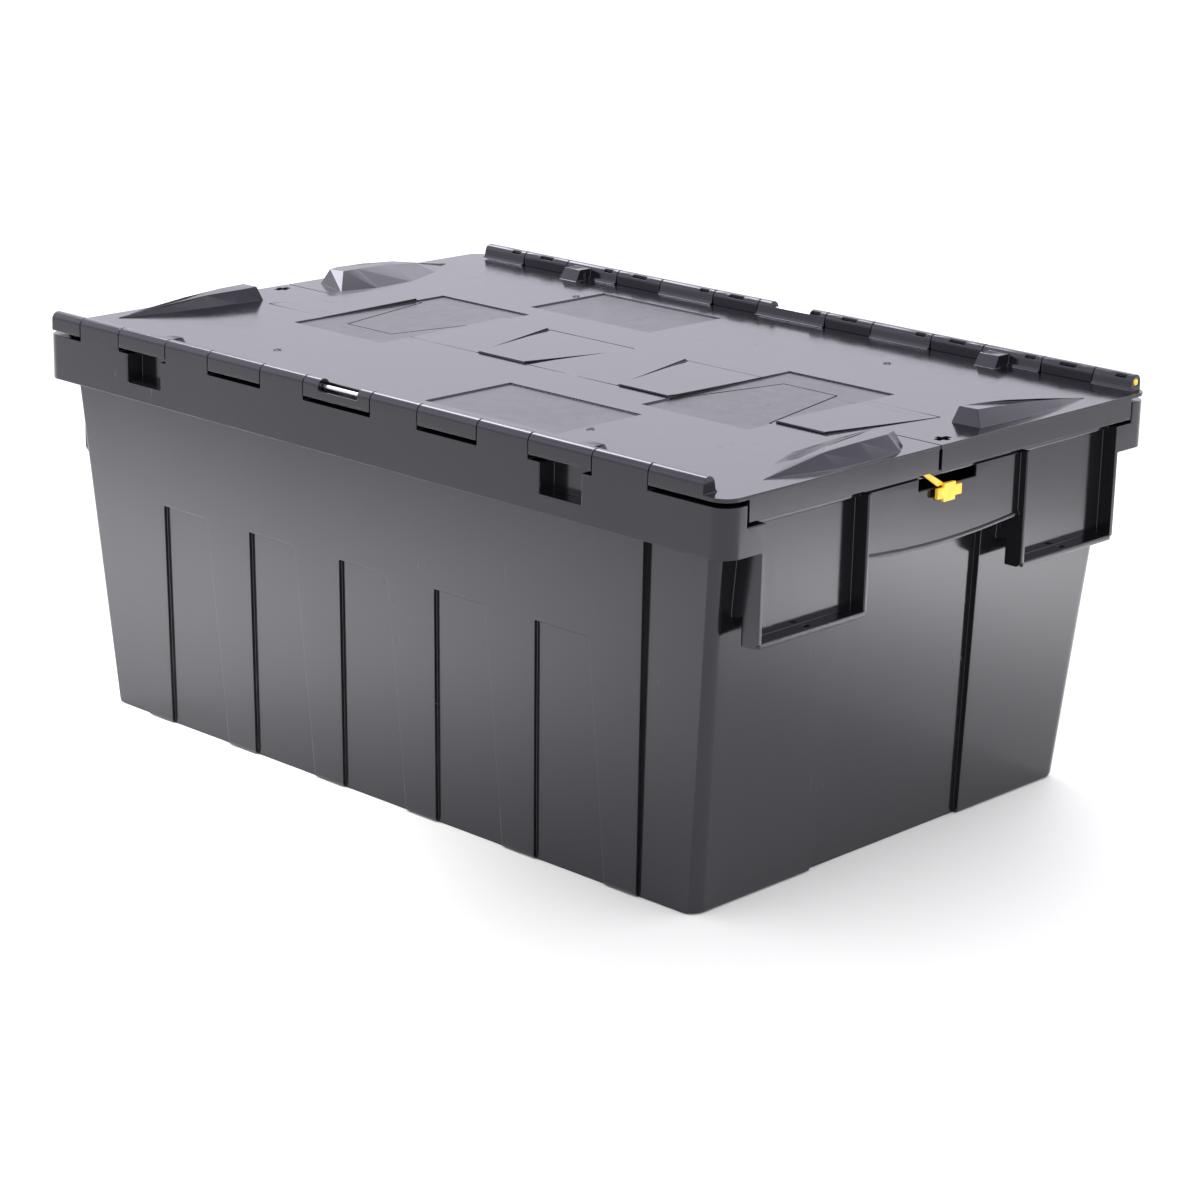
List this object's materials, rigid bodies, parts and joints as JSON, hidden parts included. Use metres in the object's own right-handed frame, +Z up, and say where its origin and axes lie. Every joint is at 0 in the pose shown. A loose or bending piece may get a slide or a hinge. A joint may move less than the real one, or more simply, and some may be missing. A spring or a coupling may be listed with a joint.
{
  "type": "attached lid tote",
  "caption": "Stack-and-nest plastic tote with two interlocking lids hinged along its long sides on steel rods, with end grips, label pockets and a yellow seal.",
  "frame": {"origin": "middle of the underside of the tub, on the surface it stands on", "axes": "+Z up, X along the long sides, -Y the side whose lid hinge has its open rod end at -X, +X the end with the seal"},
  "size_m": [0.6, 0.4, 0.2685],
  "materials": {
    "tub_plastic": "black injection-moulded polypropylene, satin gloss",
    "lid_plastic": "black injection-moulded polypropylene, glossy, fine mould grain in the recessed fields",
    "rod_steel": "bright drawn steel rod",
    "yellow_plastic": "yellow moulded plastic"
  },
  "bodies": {
    "tub": {"tub": "tub_plastic", "hinge_rod_front": "rod_steel", "hinge_rod_rear": "rod_steel", "security_seal": "yellow_plastic"},
    "lid_front": {"lid_front": "lid_plastic", "rod_plug_front": "yellow_plastic"},
    "lid_rear": {"lid_rear": "lid_plastic", "rod_plug_rear": "yellow_plastic"}
  },
  "joints": [
    {"name": "lid_front_hinge", "type": "hinge", "parent": "tub", "child": "lid_front", "pos_m": [0, -0.195, 0.2633], "axis": [1, 0, 0], "range_deg": [0, 265]},
    {"name": "lid_rear_hinge", "type": "hinge", "parent": "tub", "child": "lid_rear", "pos_m": [0, 0.195, 0.2633], "axis": [-1, 0, 0], "range_deg": [0, 265]}
  ]
}
